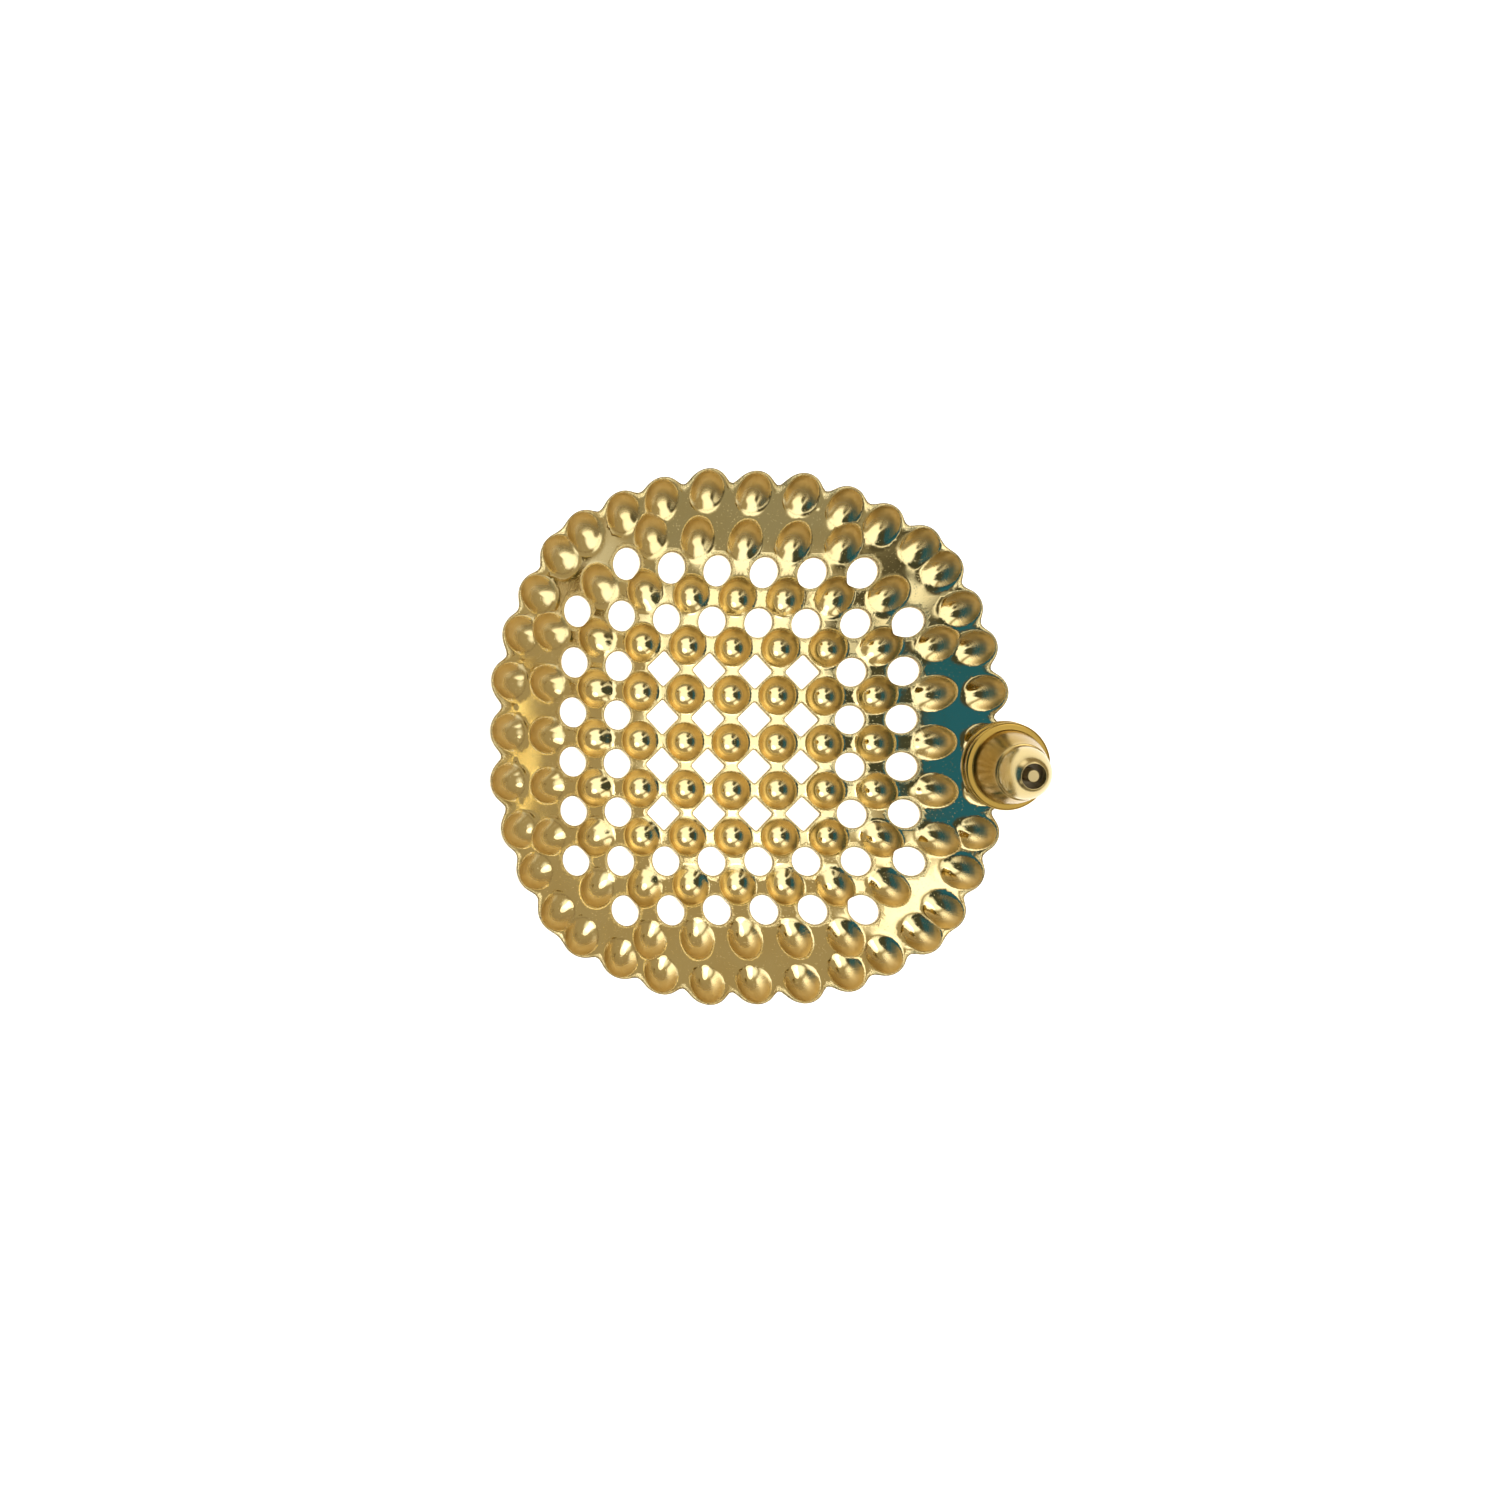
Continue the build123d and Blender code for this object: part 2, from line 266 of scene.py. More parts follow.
def rim_loop(inset):
    """Points along the scalloped edge, inset inside it."""
    a = np.arange(RIM_SEGMENTS) * 2 * pi / RIM_SEGMENTS
    ca, sa = np.cos(a), np.sin(a)
    lo, hi = np.full(RIM_SEGMENTS, 4.6), np.full(RIM_SEGMENTS, 6.2)
    for _ in range(30):
        mid = (lo + hi) / 2
        outside = rim_sdf(mid * ca, mid * sa) > 0
        hi, lo = np.where(outside, mid, hi), np.where(outside, lo, mid)
    x, y = lo * ca, lo * sa
    e = 0.001
    gx = rim_sdf(x + e, y) - rim_sdf(x - e, y)
    gy = rim_sdf(x, y + e) - rim_sdf(x, y - e)
    g = np.hypot(gx, gy)
    return list(zip(x - inset * gx / g, y - inset * gy / g))


def plan_points():
    """The plate's plan mesh: its points, and the edges that close its outline and holes."""
    points, edges = [], []

    def closed(loop):
        first = len(points)
        points.extend(loop)
        edges.extend((first + n, first + (n + 1) % len(loop)) for n in range(len(loop)))

    closed(rim_loop(0))
    for k in range(len(HOLES)):
        closed(hole_loop(k, 0))
    for inset in EDGE_OFFSETS:
        closed(rim_loop(inset))
        for k in range(len(HOLES)):
            closed(hole_loop(k, inset))
    clear = EDGE_OFFSETS[-1] + 0.008
    ringed, owner = [PLACES], [np.arange(len(PLACES))]
    for ring, r in enumerate(BEAD_RINGS):
        count = BEAD_SEGMENTS if r > 0.5 else BEAD_SEGMENTS // 2
        a = (np.arange(count) + 0.5 * (ring % 2)) * 2 * pi / count
        for k in range(len(PLACES)):
            along = r * OPENING[k, 1] * UPRIGHT[k] * np.cos(a)
            across = r * OPENING[k, 0] * np.sin(a)
            (ux, uy), (cx, cy) = UPHILL[k], PLACES[k]
            x, y = cx + along * ux - across * uy, cy + along * uy + across * ux
            ringed.append(np.stack([x, y], axis=1))
            owner.append(np.full(count, k))
    ringed, owner = np.vstack(ringed), np.concatenate(owner)
    t = opening_distances(ringed[:, 0], ringed[:, 1])
    own = t[np.arange(len(t)), owner]
    t[np.arange(len(t)), owner] = 9
    keep = own < t.min(axis=1) - 0.03
    side = np.arange(-5.5, 5.5, FILL)
    gx, gy = np.meshgrid(side, side * sqrt(3) / 2 * 1.15)
    gx = gx + (np.arange(len(side)) % 2)[:, None] * FILL / 2
    fill = np.stack([gx.ravel(), gy.ravel()], axis=1)
    fill = fill[opening_distances(fill[:, 0], fill[:, 1]).min(axis=1) > BEAD_RINGS[-1] + 0.05]
    loose = np.vstack([ringed[keep], fill])
    inside = edge_distance(loose[:, 0], loose[:, 1]) > clear
    points.extend(map(tuple, loose[inside]))
    return points, edges


def make_plate():
    points, edges = plan_points()
    co, _, faces, *_ = delaunay_2d_cdt([Vector(p) for p in points], edges, [], 0, 1e-7, False)
    xy = np.array([(p.x, p.y) for p in co])
    tris = np.array([f for f in faces if len(f) == 3])
    mid = xy[tris].mean(axis=1)
    tris = tris[edge_distance(mid[:, 0], mid[:, 1]) > 0]
    a, b, c = xy[tris[:, 0]], xy[tris[:, 1]], xy[tris[:, 2]]
    area = (b[:, 0] - a[:, 0]) * (c[:, 1] - a[:, 1]) - (b[:, 1] - a[:, 1]) * (c[:, 0] - a[:, 0])
    tris[area < 0] = tris[area < 0][:, ::-1]
    used = np.unique(tris)
    index = np.full(len(xy), -1)
    index[used] = np.arange(len(used))
    xy, tris = xy[used], index[tris]
    x, y = xy[:, 0], xy[:, 1]
    count = len(xy)
    top = np.stack([x, y, back_height(x, y)], axis=1)
    low = np.stack([x, y, np.minimum(front_height(x, y), top[:, 2] - 0.04)], axis=1)
    top_n, low_n = normals(back_height, x, y), -normals(front_height, x, y)
    # the cut edges: every triangle edge that only one triangle has
    half = np.vstack([tris[:, [0, 1]], tris[:, [1, 2]], tris[:, [2, 0]]])
    key = np.sort(half, axis=1)
    _, first, seen = np.unique(key, axis=0, return_index=True, return_counts=True)
    cut = half[first[seen == 1]]
    out = np.zeros((count, 2))
    run = xy[cut[:, 1]] - xy[cut[:, 0]]
    sideways = np.stack([run[:, 1], -run[:, 0]], axis=1)
    for end in (0, 1):
        np.add.at(out, cut[:, end], sideways)
    length = np.maximum(np.linalg.norm(out, axis=1), 1e-12)
    out = np.hstack([out / length[:, None], np.zeros((count, 1))])
    walls = np.stack([cut[:, 1], cut[:, 0], cut[:, 0] + count, cut[:, 1] + count], axis=1)
    polygons = [*tris.tolist(), *(tris[:, ::-1] + count).tolist(), *walls.tolist()]
    mesh = bpy.data.meshes.new("beaded_plate")
    mesh.from_pydata((np.vstack([top, low]) * PITCH_MM * MM).tolist(), [], polygons)
    corner = np.vstack([
        top_n[tris].reshape(-1, 3),
        low_n[tris[:, ::-1]].reshape(-1, 3),
        out[walls % count].reshape(-1, 3),
    ])
    mesh.polygons.foreach_set("use_smooth", [True] * len(polygons))
    mesh.update()
    mesh.normals_split_custom_set(corner.tolist())
    add_plate_attributes(mesh, x, y, top_n)
    plate = bpy.data.objects.new("beaded_plate", mesh)
    bpy.context.scene.collection.objects.link(plate)
    print("plate", count * 2, "vertices", len(tris) * 2 + len(walls) * 2, "triangles")
    return plate


def add_plate_attributes(mesh, x, y, normal):
    """For the material: where in its bead each point lies, and how near a cut edge."""
    distances = opening_distances(x, y)
    i, t = distances.argmin(axis=1), distances.min(axis=1)
    dx, dy = x - PLACES[i, 0], y - PLACES[i, 1]
    r = np.maximum(np.hypot(dx, dy), 1e-6)
    tilt = np.degrees(np.arccos(np.clip(normal[:, 2], -1, 1)))
    # wall marks the beads' steep walls, which the material roughens and darkens with painted shade
    wall = np.interp(tilt, WALL_TILT, (0, 1)) * np.interp(t, WALL_FADE, (1, 0))
    lip = np.clip(1 - np.abs(t - LIP_AT) / LIP_HALF, 0, 1)
    streak = np.stack([dx / r, dy / r, i * 0.37], axis=1)
    edge = np.clip(1 - edge_distance(x, y) / EDGE_WORN, 0, 1)
    for name, kind, values in (
        ("wall", "FLOAT", wall),
        ("edge", "FLOAT", edge),
        ("lip", "FLOAT", lip),
        ("streak", "FLOAT_VECTOR", streak),
    ):
        field = "vector" if kind == "FLOAT_VECTOR" else "value"
        attribute = mesh.attributes.new(name, kind, "POINT")
        both = np.concatenate([values, values]).astype(np.float32)
        attribute.data.foreach_set(field, both.ravel())


# ---------------------------------------------------------------- turned pieces

ARC_STEP = radians(15)  # between the points of a rounding
BESIDE = 0.04  # how near an extra row lies to a rounding, to keep the flat beside it flat


def post_frame():
    """The post's foot in metres, and the matrix whose Z runs up the post."""
    axis = Vector((tan(radians(LEAN_X)), tan(radians(LEAN_Y)), 1)).normalized()
    side = Vector((1, 0, -tan(radians(LEAN_X)))).normalized()
    foot = Vector((POST_AT[0], POST_AT[1], float(bowl(*POST_AT)))) * PITCH_MM * MM
    turn = Matrix((side, axis.cross(side), axis)).transposed()
    return Matrix.Translation(foot) @ turn.to_4x4()


POST = post_frame()
CLUTCH = POST @ Matrix.Translation((0, 0, CLUTCH_UP * MM))


def rounded(corners):
    """A profile through corners (r, z, rounding), with each corner turned into a small arc."""
    out = []
    n = len(corners)
    for k, (r, z, fillet) in enumerate(corners):
        p = Vector((r, z))
        if fillet <= 0:
            out.append((r, z))
            continue
        before = Vector(corners[k - 1][:2]) - p
        after = Vector(corners[(k + 1) % n][:2]) - p
        u, v = before.normalized(), after.normalized()
        half = max(u.angle(v) / 2, 0.01)
        reach = min(fillet / tan(half), 0.48 * before.length, 0.48 * after.length)
        bend = reach * tan(half)
        centre = p + (u + v).normalized() * (bend / sin(half))
        start, end = p + u * reach, p + v * reach
        a0 = atan2(start.y - centre.y, start.x - centre.x)
        a1 = atan2(end.y - centre.y, end.x - centre.x)
        sweep = (a1 - a0 + pi) % (2 * pi) - pi
        steps = max(3, ceil(abs(sweep) / ARC_STEP))
        if before.length > 3 * reach:
            out.append(tuple(start + u * min(reach, BESIDE)))
        for s in range(steps + 1):
            a = a0 + sweep * s / steps
            out.append((centre.x + bend * cos(a), centre.y + bend * sin(a)))
        if after.length > 3 * reach:
            out.append(tuple(end + v * min(reach, BESIDE)))
    return out


def curve_between(p0, t0, p1, t1, steps=14):
    """Points on a cubic from p0 to p1, in millimetres, leaving along t0 and arriving along t1."""
    p0, p1 = Vector(p0), Vector(p1)
    span = (p1 - p0).length
    t0, t1 = Vector(t0).normalized() * span, Vector(t1).normalized() * span
    points = []
    for n in range(steps + 1):
        s = n / steps
        h00, h10 = 2 * s**3 - 3 * s**2 + 1, s**3 - 2 * s**2 + s
        h01, h11 = -2 * s**3 + 3 * s**2, s**3 - s**2
        q = p0 * h00 + t0 * h10 + p1 * h01 + t1 * h11
        points.append((q.x, q.y, 0))
    return points


def lathe(name, profile, place, segments=160, closed=True):
    """A piece turned around place's Z from a profile of (r, z) in millimetres."""
    mesh = bpy.data.meshes.new(name)
    rows = []
    verts = []
    for r, z in profile:
        if r < 1e-6:
            rows.append([len(verts)] * segments)
            verts.append(place @ Vector((0, 0, z * MM)))
            continue
        row = []
        for n in range(segments):
            a = 2 * pi * n / segments
            row.append(len(verts))
            verts.append(place @ Vector((r * MM * cos(a), r * MM * sin(a), z * MM)))
        rows.append(row)
    polygons = []
    last = len(rows) if closed else len(rows) - 1
    for k in range(last):
        low, high = rows[k], rows[(k + 1) % len(rows)]
        for n in range(segments):
            m = (n + 1) % segments
            face = [low[n], low[m], high[m], high[n]]
            face = [v for j, v in enumerate(face) if v != face[j - 1]]
            if len(face) > 2:
                polygons.append(face)
    mesh.from_pydata(verts, [], polygons)
    bm = bmesh.new()
    bm.from_mesh(mesh)
    bmesh.ops.recalc_face_normals(bm, faces=bm.faces)
    bm.to_mesh(mesh)
    bm.free()
    mesh.polygons.foreach_set("use_smooth", [True] * len(mesh.polygons))
    mesh.set_sharp_from_angle(angle=radians(50))
    piece = bpy.data.objects.new(name, mesh)
    bpy.context.scene.collection.objects.link(piece)
    return piece


# Radii, and heights up the post or, for the clutch, up from the clutch's foot
POST_R, POST_FOOT, POST_END = 0.355, 0.2, 10.0
NOTCH_AT, NOTCH_HALF, NOTCH_R = 8.6, 0.175, 0.28
NOTCH_RAMP = 0.05
FLANGE_R, FLANGE_LOW, FLANGE_UP = 2.575, 0.74, 1.14
BODY_FOOT_R, BELL_FROM = 2.12, 1.35
BODY_R, BODY_UP = 1.64, 3.7
BAND_R, BAND_UP = 1.5, 4.2
NOSE_R, NOSE_UP = 1.1, 5.42
NOSE_HOLE_R, NOSE_HOLE_FROM, CLUTCH_TALL = 0.71, 5.15, 5.8
BASE_THICK, BASE_HOLE_R, BASE_LIP_UP = 0.30, 0.55, 0.44
GROOVE_R, SPIGOT_R, SPIGOT_UP = 2.2, 1.6, 0.96
GRIP_R, GRIP_BORE_R, GRIP_FOOT, GRIP_UP = 1.2, 0.385, 0.36, 4.6
RUN = 0.05  # running clearance round the grip
SEAT = 0.02  # gap between the cap and its base
SOLDER_R, SOLDER_TALL = 0.93, 1.05
SOLDER_SINK, SOLDER_THICK = 0.03, 0.12  # how far it goes into the sheet, and its depth there


def make_post():
    low, high = NOTCH_AT - NOTCH_HALF, NOTCH_AT + NOTCH_HALF
    profile = rounded([
        (0, POST_FOOT, 0),
        (POST_R, POST_FOOT, 0.02),
        (POST_R, low - NOTCH_RAMP, 0.03),
        (NOTCH_R, low + NOTCH_RAMP, 0.03),
        (NOTCH_R, high - NOTCH_RAMP, 0.03),
        (POST_R, high + NOTCH_RAMP, 0.03),
        (POST_R, POST_END, 0.06),
        (0.1, POST_END, 0),
        (0, POST_END, 0),
    ])
    return lathe("post", profile, POST, segments=96, closed=False)


def make_shell():
    bore, foot = GRIP_R + RUN, BASE_THICK + SEAT
    nose_tip = (NOSE_HOLE_R + 0.07, CLUTCH_TALL - 0.04)
    bell = curve_between((BODY_FOOT_R, BELL_FROM), (-0.05, 1), (BODY_R, BODY_UP), (-0.3, 1), 22)
    dome = curve_between((BAND_R, BAND_UP), (0, 1), (NOSE_R, NOSE_UP), (-0.62, 1), 12)
    tip = curve_between((NOSE_R, NOSE_UP), (-0.62, 1), nose_tip, (-1, 0.5), 8)
    inside = [
        (bore, SPIGOT_UP + SEAT, 0),
        (SPIGOT_R, SPIGOT_UP + SEAT, 0.03),
        (SPIGOT_R, foot, 0.03),
        (GROOVE_R, foot, 0.05),
    ]
    flange = [
        (GROOVE_R, FLANGE_LOW, 0.08),
        (FLANGE_R - 0.04, FLANGE_LOW + 0.02, 0.14),
        (FLANGE_R, FLANGE_UP, 0.16),
        (BODY_FOOT_R + 0.02, FLANGE_UP + 0.03, 0.08),
    ]
    step = [(BODY_R - 0.02, BODY_UP + 0.07, 0.04), (BAND_R, BODY_UP + 0.12, 0.04)]
    hole = [
        (NOSE_HOLE_R, CLUTCH_TALL, 0.05),
        (NOSE_HOLE_R, NOSE_HOLE_FROM, 0.05),
        (bore, GRIP_UP + 0.06, 0.1),
    ]
    profile = rounded(inside + flange + bell + step + dome + tip[1:] + hole)
    return lathe("bullet_cap", profile, CLUTCH)


def make_base():
    bore = GRIP_R + RUN
    profile = rounded([
        (BASE_HOLE_R, 0.02, 0.06),
        (FLANGE_R, 0.0, 0.13),
        (FLANGE_R, BASE_LIP_UP, 0.13),
        (FLANGE_R - 0.30, BASE_LIP_UP, 0.12),
        (FLANGE_R - 0.36, BASE_THICK, 0.05),
        (SPIGOT_R, BASE_THICK, 0.0),
        (SPIGOT_R, SPIGOT_UP, 0.04),
        (bore, SPIGOT_UP, 0.04),
        (bore, BASE_THICK, 0.0),
        (BASE_HOLE_R, BASE_THICK, 0.06),
    ])
    return lathe("clutch_base_ring", profile, CLUTCH)


def make_grip():
    profile = rounded([
        (GRIP_BORE_R, GRIP_FOOT, 0.08),
        (GRIP_R, GRIP_FOOT, 0.12),
        (GRIP_R, GRIP_UP, 0.15),
        (GRIP_BORE_R, GRIP_UP, 0.1),
    ])
    return lathe("grip_sleeve", profile, CLUTCH, segments=96)


def make_solder():
    """A fillet of hard solder that climbs the post's foot, lying on the sheet around it."""
    segments, rings = 72, 14
    uneven = RNG.normal(0, 1, 2)
    inverse = POST.inverted()
    inner = POST_R * 0.96
    mesh = bpy.data.meshes.new("solder_fillet")
    verts, rows = [], []
    for k in range(rings + 1):
        s = k / rings
        row = []
        for n in range(segments):
            a = 2 * pi * n / segments
            reach = SOLDER_R * (1 + 0.06 * sin(a + uneven[0]) + 0.05 * sin(2 * a + uneven[1]))
            r = inner + (reach - inner) * (1 - s) ** 0.8
            foot = POST @ Vector((r * MM * cos(a), r * MM * sin(a), 0))
            x, y = foot.x / MM / PITCH_MM, foot.y / MM / PITCH_MM
            sheet = float(back_height(np.array([x]), np.array([y]))[0]) * PITCH_MM * MM
            up = (SOLDER_TALL * s**2.2 - SOLDER_SINK) * MM
            near = abs(sheet - foot.z) < 0.4 * MM
            ground = sheet * (1 - s) + foot.z * s if near else foot.z
            local = inverse @ Vector((foot.x, foot.y, ground))
            row.append(len(verts))
            verts.append(POST @ Vector((r * MM * cos(a), r * MM * sin(a), local.z + up)))
        rows.append(row)
    polygons = []
    for k in range(rings):
        for n in range(segments):
            m = (n + 1) % segments
            polygons.append([rows[k][n], rows[k][m], rows[k + 1][m], rows[k + 1][n]])
    low = len(verts)
    down = POST.to_3x3() @ Vector((0, 0, SOLDER_THICK * MM))
    verts.extend([v - down for v in verts[:segments]])
    for n in range(segments):
        m = (n + 1) % segments
        polygons.append([low + n, low + m, m, n])
    polygons.append([low + n for n in reversed(range(segments))])
    polygons.append(list(rows[-1]))
    mesh.from_pydata(verts, [], polygons)
    mesh.polygons.foreach_set("use_smooth", [True] * len(mesh.polygons))
    mesh.set_sharp_from_angle(angle=radians(60))
    piece = bpy.data.objects.new("solder_fillet", mesh)
    bpy.context.scene.collection.objects.link(piece)
    return piece


# ---------------------------------------------------------------- materials


class Nodes:
    """Short calls for the node tree of a material or a world."""

    def __init__(self, owner, shader="Principled BSDF"):
        owner.use_nodes = True
        self.owner = owner
        self.tree = owner.node_tree
        self.shader = self.tree.nodes[shader]

    def add(self, kind, **settings):
        node = self.tree.nodes.new(kind)
        for key, value in settings.items():
            setattr(node, key, value)
        return node

    def link(self, source, target):
        self.tree.links.new(source, target)

    def put(self, value, socket):
        if isinstance(value, bpy.types.NodeSocket):
            self.link(value, socket)
        else:
            socket.default_value = value

    def math(self, operation, a, b=0.0):
        node = self.add("ShaderNodeMath", operation=operation)
        self.put(a, node.inputs[0])
        self.put(b, node.inputs[1])
        return node.outputs[0]

    def span(self, value, low, high, to_low=0.0, to_high=1.0):
        node = self.add("ShaderNodeMapRange", interpolation_type="SMOOTHSTEP")
        for socket, number in zip(node.inputs[:5], (value, low, high, to_low, to_high)):
            self.put(number, socket)
        return node.outputs[0]

    def mix(self, factor, a, b):
        node = self.add("ShaderNodeMix", data_type="RGBA")
        self.put(factor, node.inputs["Factor"])
        self.put(a, node.inputs[6])
        self.put(b, node.inputs[7])
        return node.outputs[2]

    def place(self):
        """Object coordinates in millimetres."""
        coordinates = self.add("ShaderNodeTexCoord")
        mapping = self.add("ShaderNodeMapping")
        mapping.inputs["Scale"].default_value = [1 / MM] * 3
        self.link(coordinates.outputs["Object"], mapping.inputs["Vector"])
        return mapping.outputs["Vector"]

    def noise(self, vector, scale, detail):
        node = self.add("ShaderNodeTexNoise")
        self.link(vector, node.inputs["Vector"])
        node.inputs["Scale"].default_value = scale
        node.inputs["Detail"].default_value = detail
        return node.outputs["Fac"]

    def attribute(self, name, output="Fac"):
        return self.add("ShaderNodeAttribute", attribute_name=name).outputs[output]

    def bump(self, height, strength, distance_mm, after=None):
        node = self.add("ShaderNodeBump")
        node.inputs["Strength"].default_value = strength
        node.inputs["Distance"].default_value = distance_mm * MM
        self.link(height, node.inputs["Height"])
        if after is not None:
            self.link(after, node.inputs["Normal"])
        return node.outputs["Normal"]


GOLD = (0.91, 0.76, 0.40, 1)
GOLD_PALE = (0.93, 0.80, 0.45, 1)
# a darker gold for the clutch's body and base ring: painted shade that stands in for their darker
# reflections
GOLD_SHADED = (0.37, 0.24, 0.055, 1)
# a lighter gold painted toward the clutch's nose: a painted highlight
GOLD_NOSE_HIGHLIGHT = (0.60, 0.48, 0.235, 1)
GOLD_DULL = (0.52, 0.42, 0.22, 1)
# dark brown specks, on the plate's cut edges and more faintly on a band round each bead's opening
DARK_SPECKS = (0.20, 0.13, 0.06, 1)
# a darker gold: painted shade where the plate's bead walls take it, and a random darker tone in the
# solder
GOLD_DEEP = (0.66, 0.47, 0.19, 1)
# the grip's two tones, mixed at random, are darkened to amber: painted shade for its top, seen deep
# in the clutch's hole
SILICONE_DARK = (0.50, 0.42, 0.28, 1)
SILICONE_PALE = (0.58, 0.50, 0.36, 1)


def plate_gold():
    n = Nodes(bpy.data.materials.new("plated_gold"))
    place = n.place()
    wall = n.attribute("wall")
    edge = n.attribute("edge")
    tone = n.noise(place, 0.35, 4.0)
    colour = n.mix(n.span(tone, 0.35, 0.65), GOLD, GOLD_PALE)
    # painted shade: the beads' steep walls turn to the darker gold, while the roughness added below
    # is their real satin finish
    colour = n.mix(n.math("MULTIPLY", wall, 0.85), colour, GOLD_DEEP)
    specks = n.span(n.noise(place, 11.0, 2.0), 0.42, 0.58, 0.25, 0.85)
    # dark specks at full strength on the cut edges, and at 0.55 on a band round each bead's opening
    cut = n.math("MAXIMUM", n.span(edge, 0.45, 0.9), n.math("MULTIPLY", n.attribute("lip"), 0.55))
    colour = n.mix(n.math("MULTIPLY", cut, specks), colour, DARK_SPECKS)
    n.link(colour, n.shader.inputs["Base Color"])
    n.shader.inputs["Metallic"].default_value = 1
    cloud = n.noise(place, 1.3, 5.0)
    rough = n.math("ADD", n.math("MULTIPLY", cloud, 0.08), 0.03)
    rough = n.math("ADD", rough, n.math("MULTIPLY", wall, 0.26))
    rough = n.math("ADD", rough, n.math("MULTIPLY", edge, 0.12))
    n.link(rough, n.shader.inputs["Roughness"])
    streaks = n.noise(n.attribute("streak", "Vector"), 9.0, 3.0)
    grain = n.noise(place, 24.0, 2.0)
    pits = n.span(n.noise(place, 9.0, 2.0), 0.66, 0.74)
    burr = n.math("MULTIPLY", n.noise(place, 20.0, 1.0), edge)
    streaked = n.math("MULTIPLY", streaks, wall)
    normal = n.bump(streaked, 0.35, 0.05)
    normal = n.bump(grain, 0.12, 0.01, normal)
    normal = n.bump(pits, 0.25, 0.02, normal)
    normal = n.bump(burr, 1.0, 0.07, normal)
    n.link(normal, n.shader.inputs["Normal"])
    return n.owner


def turned_gold(name, base, roughness, ring_strength=0.2, nose_highlight=None):
    """Gold plate on a turned piece: fine rings around the axis and, when a second gold is given, a
    painted highlight that brightens the colour toward the nose.
    """
    n = Nodes(bpy.data.materials.new(name))
    coordinates = n.add("ShaderNodeTexCoord")
    mapping = n.add("ShaderNodeMapping", vector_type="TEXTURE")
    mapping.inputs["Location"].default_value = CLUTCH.translation
    mapping.inputs["Rotation"].default_value = CLUTCH.to_euler()
    n.link(coordinates.outputs["Object"], mapping.inputs["Vector"])
    split = n.add("ShaderNodeSeparateXYZ")
    n.link(mapping.outputs["Vector"], split.inputs[0])
    height = n.math("MULTIPLY", split.outputs["Z"], 1 / MM)
    join = n.add("ShaderNodeCombineXYZ")
    n.link(height, join.inputs["Z"])
    rings = n.noise(join.outputs[0], 14.0, 3.0)
    place = n.place()
    tone = n.noise(place, 0.8, 3.0)
    paler = tuple(c * 1.08 for c in base[:3]) + (1,)
    colour = n.mix(n.span(tone, 0.35, 0.65), base, paler)
    # painted highlight: from just below the band upward, the colour turns to the lighter nose gold
    if nose_highlight:
        colour = n.mix(n.span(height, BODY_UP - 0.4, BODY_UP + 0.6), colour, nose_highlight)
    n.link(colour, n.shader.inputs["Base Color"])
    n.shader.inputs["Metallic"].default_value = 1
    cloud = n.noise(place, 2.2, 4.0)
    rough = n.math("ADD", n.math("MULTIPLY", cloud, 0.10), roughness - 0.05)
    n.link(rough, n.shader.inputs["Roughness"])
    normal = n.bump(rings, ring_strength, 0.012)
    normal = n.bump(n.noise(place, 20.0, 2.0), 0.08, 0.01, normal)
    n.link(normal, n.shader.inputs["Normal"])
    return n.owner


def silicone():
    n = Nodes(bpy.data.materials.new("clear_silicone"))
    place = n.place()
    tone = n.noise(place, 1.5, 3.0)
    n.link(n.mix(tone, SILICONE_DARK, SILICONE_PALE), n.shader.inputs["Base Color"])
    n.shader.inputs["Subsurface Weight"].default_value = 0.6
    n.shader.inputs["Subsurface Radius"].default_value = (0.0008, 0.0007, 0.0006)
    n.shader.inputs["Subsurface Scale"].default_value = 1.0
    n.link(n.math("ADD", n.math("MULTIPLY", tone, 0.15), 0.28), n.shader.inputs["Roughness"])
    n.shader.inputs["IOR"].default_value = 1.42
    n.link(n.bump(n.noise(place, 6.0, 3.0), 0.15, 0.03), n.shader.inputs["Normal"])
    return n.owner


def solder_metal():
    n = Nodes(bpy.data.materials.new("solder"))
    place = n.place()
    tone = n.noise(place, 2.5, 4.0)
    n.link(n.mix(tone, GOLD_DEEP, GOLD_PALE), n.shader.inputs["Base Color"])
    n.shader.inputs["Metallic"].default_value = 1
    n.link(n.math("ADD", n.math("MULTIPLY", tone, 0.2), 0.2), n.shader.inputs["Roughness"])
    n.link(n.bump(n.noise(place, 5.0, 4.0), 0.4, 0.06), n.shader.inputs["Normal"])
    return n.owner


# ---------------------------------------------------------------- the object

plate = make_plate()
solder = make_solder()
post = make_post()
cap = make_shell()
base_ring = make_base()
grip = make_grip()
post_gold = turned_gold("post_gold", GOLD_DULL, 0.42, ring_strength=0.3)
cap_gold = turned_gold("clutch_gold", GOLD_SHADED, 0.24, nose_highlight=GOLD_NOSE_HIGHLIGHT)
base_gold = turned_gold("base_gold", GOLD_SHADED, 0.24)

for piece, node, body, slot_name, material in (
    (plate, "beaded_shell", "plate", "gold_plate", plate_gold()),
    (solder, "solder_joint", "plate", "solder", solder_metal()),
    (post, "ear_post", "plate", "post_gold", post_gold),
    (cap, "clutch_shell", "cap", "clutch_gold", cap_gold),
    (base_ring, "clutch_base", "cap", "clutch_gold", base_gold),
    (grip, "clutch_grip", "grip", "silicone", silicone()),
):
    piece.data.materials.append(material)
    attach(piece, body)
    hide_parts(node)


# ---------------------------------------------------------------- stage

FLOOR_HALF = 0.8
CAMERA_FROM_MM = (-30.27, -8.28, 122.10)
CAMERA_TO_MM = (1.12, -0.46, 1.40)
CAMERA_LENS = 49.16
OVERHEAD_AT = (0.12, 0.16, 0.32)

# The room that the gold reflects: bright above ROOM_BRIGHT's heights and olive lower down
ROOM_LOW = (0.38, 0.305, 0.18, 1)
ROOM_HIGH = (1.42, 1.40, 1.30, 1)
ROOM_BRIGHT = (0.74, 0.90)
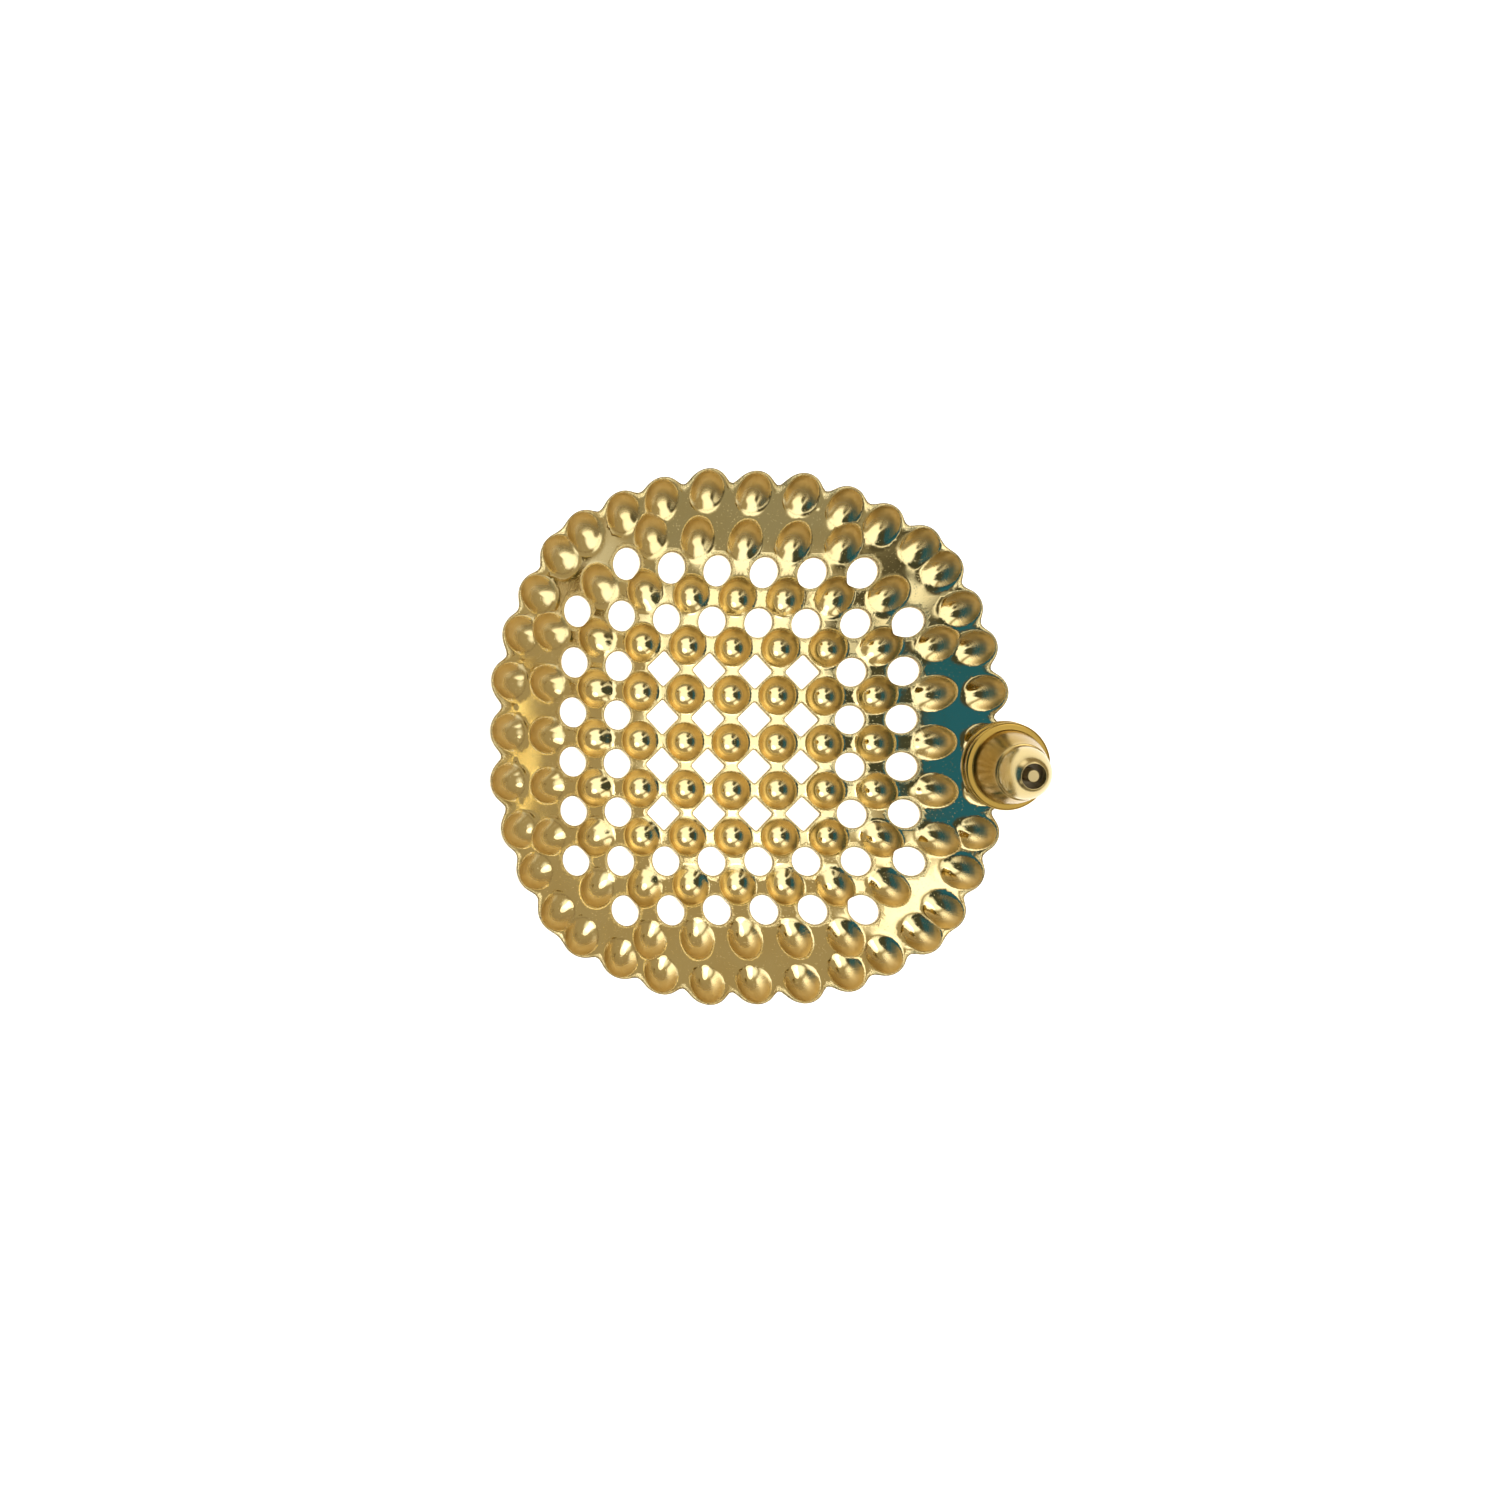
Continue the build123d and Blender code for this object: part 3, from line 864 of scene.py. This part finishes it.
# Its patches: azimuth, half width, lowest and highest angle in degrees, and colour
ROOM_PATCHES = (
    (-32, 16, -12, 14, (0.85, 0.82, 0.75, 1)),
    (-65, 34, 34, 62, (1.40, 1.36, 1.22, 1)),
    (122, 16, 4, 42, (1.7, 1.65, 1.5, 1)),
    (186, 40, -5, 77, (0.060, 0.065, 0.045, 1)),
    (184, 34, -5, 42, (0.020, 0.13, 0.24, 1)),
    (232, 24, -5, 58, (0.09, 0.08, 0.05, 1)),
    (226, 5, 20, 58, (1.2, 1.15, 1.0, 1)),
    (280, 34, -5, 32, (0.30, 0.27, 0.19, 1)),
)
PATCH_SOFT = 0.12  # half width of a patch's soft edge, in radians


def make_floor():
    mesh = bpy.data.meshes.new("floor")
    s = FLOOR_HALF
    mesh.from_pydata([(-s, -s, 0), (s, -s, 0), (s, s, 0), (-s, s, 0)], [], [(0, 1, 2, 3)])
    floor = bpy.data.objects.new("floor", mesh)
    bpy.context.scene.collection.objects.link(floor)
    n = Nodes(bpy.data.materials.new("pale_floor"))
    n.shader.inputs["Base Color"].default_value = (0.9, 0.9, 0.89, 1)
    n.shader.inputs["Roughness"].default_value = 0.8
    n.shader.inputs["Emission Color"].default_value = (1, 1, 1, 1)
    n.shader.inputs["Emission Strength"].default_value = 0.9
    mesh.materials.append(n.owner)


def make_world():
    """Soft white studio all round, with the dark sides of the room that polished gold shows."""
    world = bpy.data.worlds.new("studio")
    bpy.context.scene.world = world
    n = Nodes(world, "Background")
    coordinates = n.add("ShaderNodeTexCoord")
    split = n.add("ShaderNodeSeparateXYZ")
    n.link(coordinates.outputs["Generated"], split.inputs[0])
    x, y, z = split.outputs
    azimuth = n.math("ARCTAN2", y, x)
    height = n.math("ARCSINE", z)

    def edge(value, angle, before, after):
        low, high = radians(angle) - PATCH_SOFT, radians(angle) + PATCH_SOFT
        return n.span(value, low, high, before, after)

    def patch(at, half, low, high):
        """1 inside a patch of the room centred at azimuth at, between two heights."""
        wrapped = n.math("WRAP", n.math("SUBTRACT", azimuth, radians(at)), pi)
        wrapped.node.inputs[2].default_value = -pi
        sides = edge(n.math("ABSOLUTE", wrapped), half, 1, 0)
        between = n.math("MULTIPLY", edge(height, low, 0, 1), edge(height, high, 1, 0))
        return n.math("MULTIPLY", sides, between)

    colour = n.mix(n.span(z, *ROOM_BRIGHT), ROOM_LOW, ROOM_HIGH)
    for *where, tint in ROOM_PATCHES:
        colour = n.mix(patch(*where), colour, tint)
    n.link(colour, n.shader.inputs["Color"])


def make_lights():
    data = bpy.data.lights.new("overhead", "AREA")
    data.shape = "DISK"
    data.size = 0.20
    data.energy = 0.15
    data.color = (1, 0.98, 0.93)
    light = bpy.data.objects.new("overhead", data)
    light.location = OVERHEAD_AT
    light.rotation_euler = (-light.location).to_track_quat("-Z", "Y").to_euler()
    bpy.context.scene.collection.objects.link(light)


def make_camera():
    data = bpy.data.cameras.new("camera")
    data.lens = CAMERA_LENS
    data.clip_start = 0.005
    data.clip_end = 10
    camera = bpy.data.objects.new("camera", data)
    start, end = Vector(CAMERA_FROM_MM) * MM, Vector(CAMERA_TO_MM) * MM
    back = (start - end).normalized()
    right = Vector((0, 1, 0)).cross(back).normalized()
    turn = Matrix((right, back.cross(right), back)).transposed()
    camera.matrix_world = Matrix.Translation(start) @ turn.to_4x4()
    bpy.context.scene.collection.objects.link(camera)
    bpy.context.scene.camera = camera


make_floor()
make_world()
make_lights()
make_camera()
bpy.context.scene.view_settings.view_transform = "Standard"
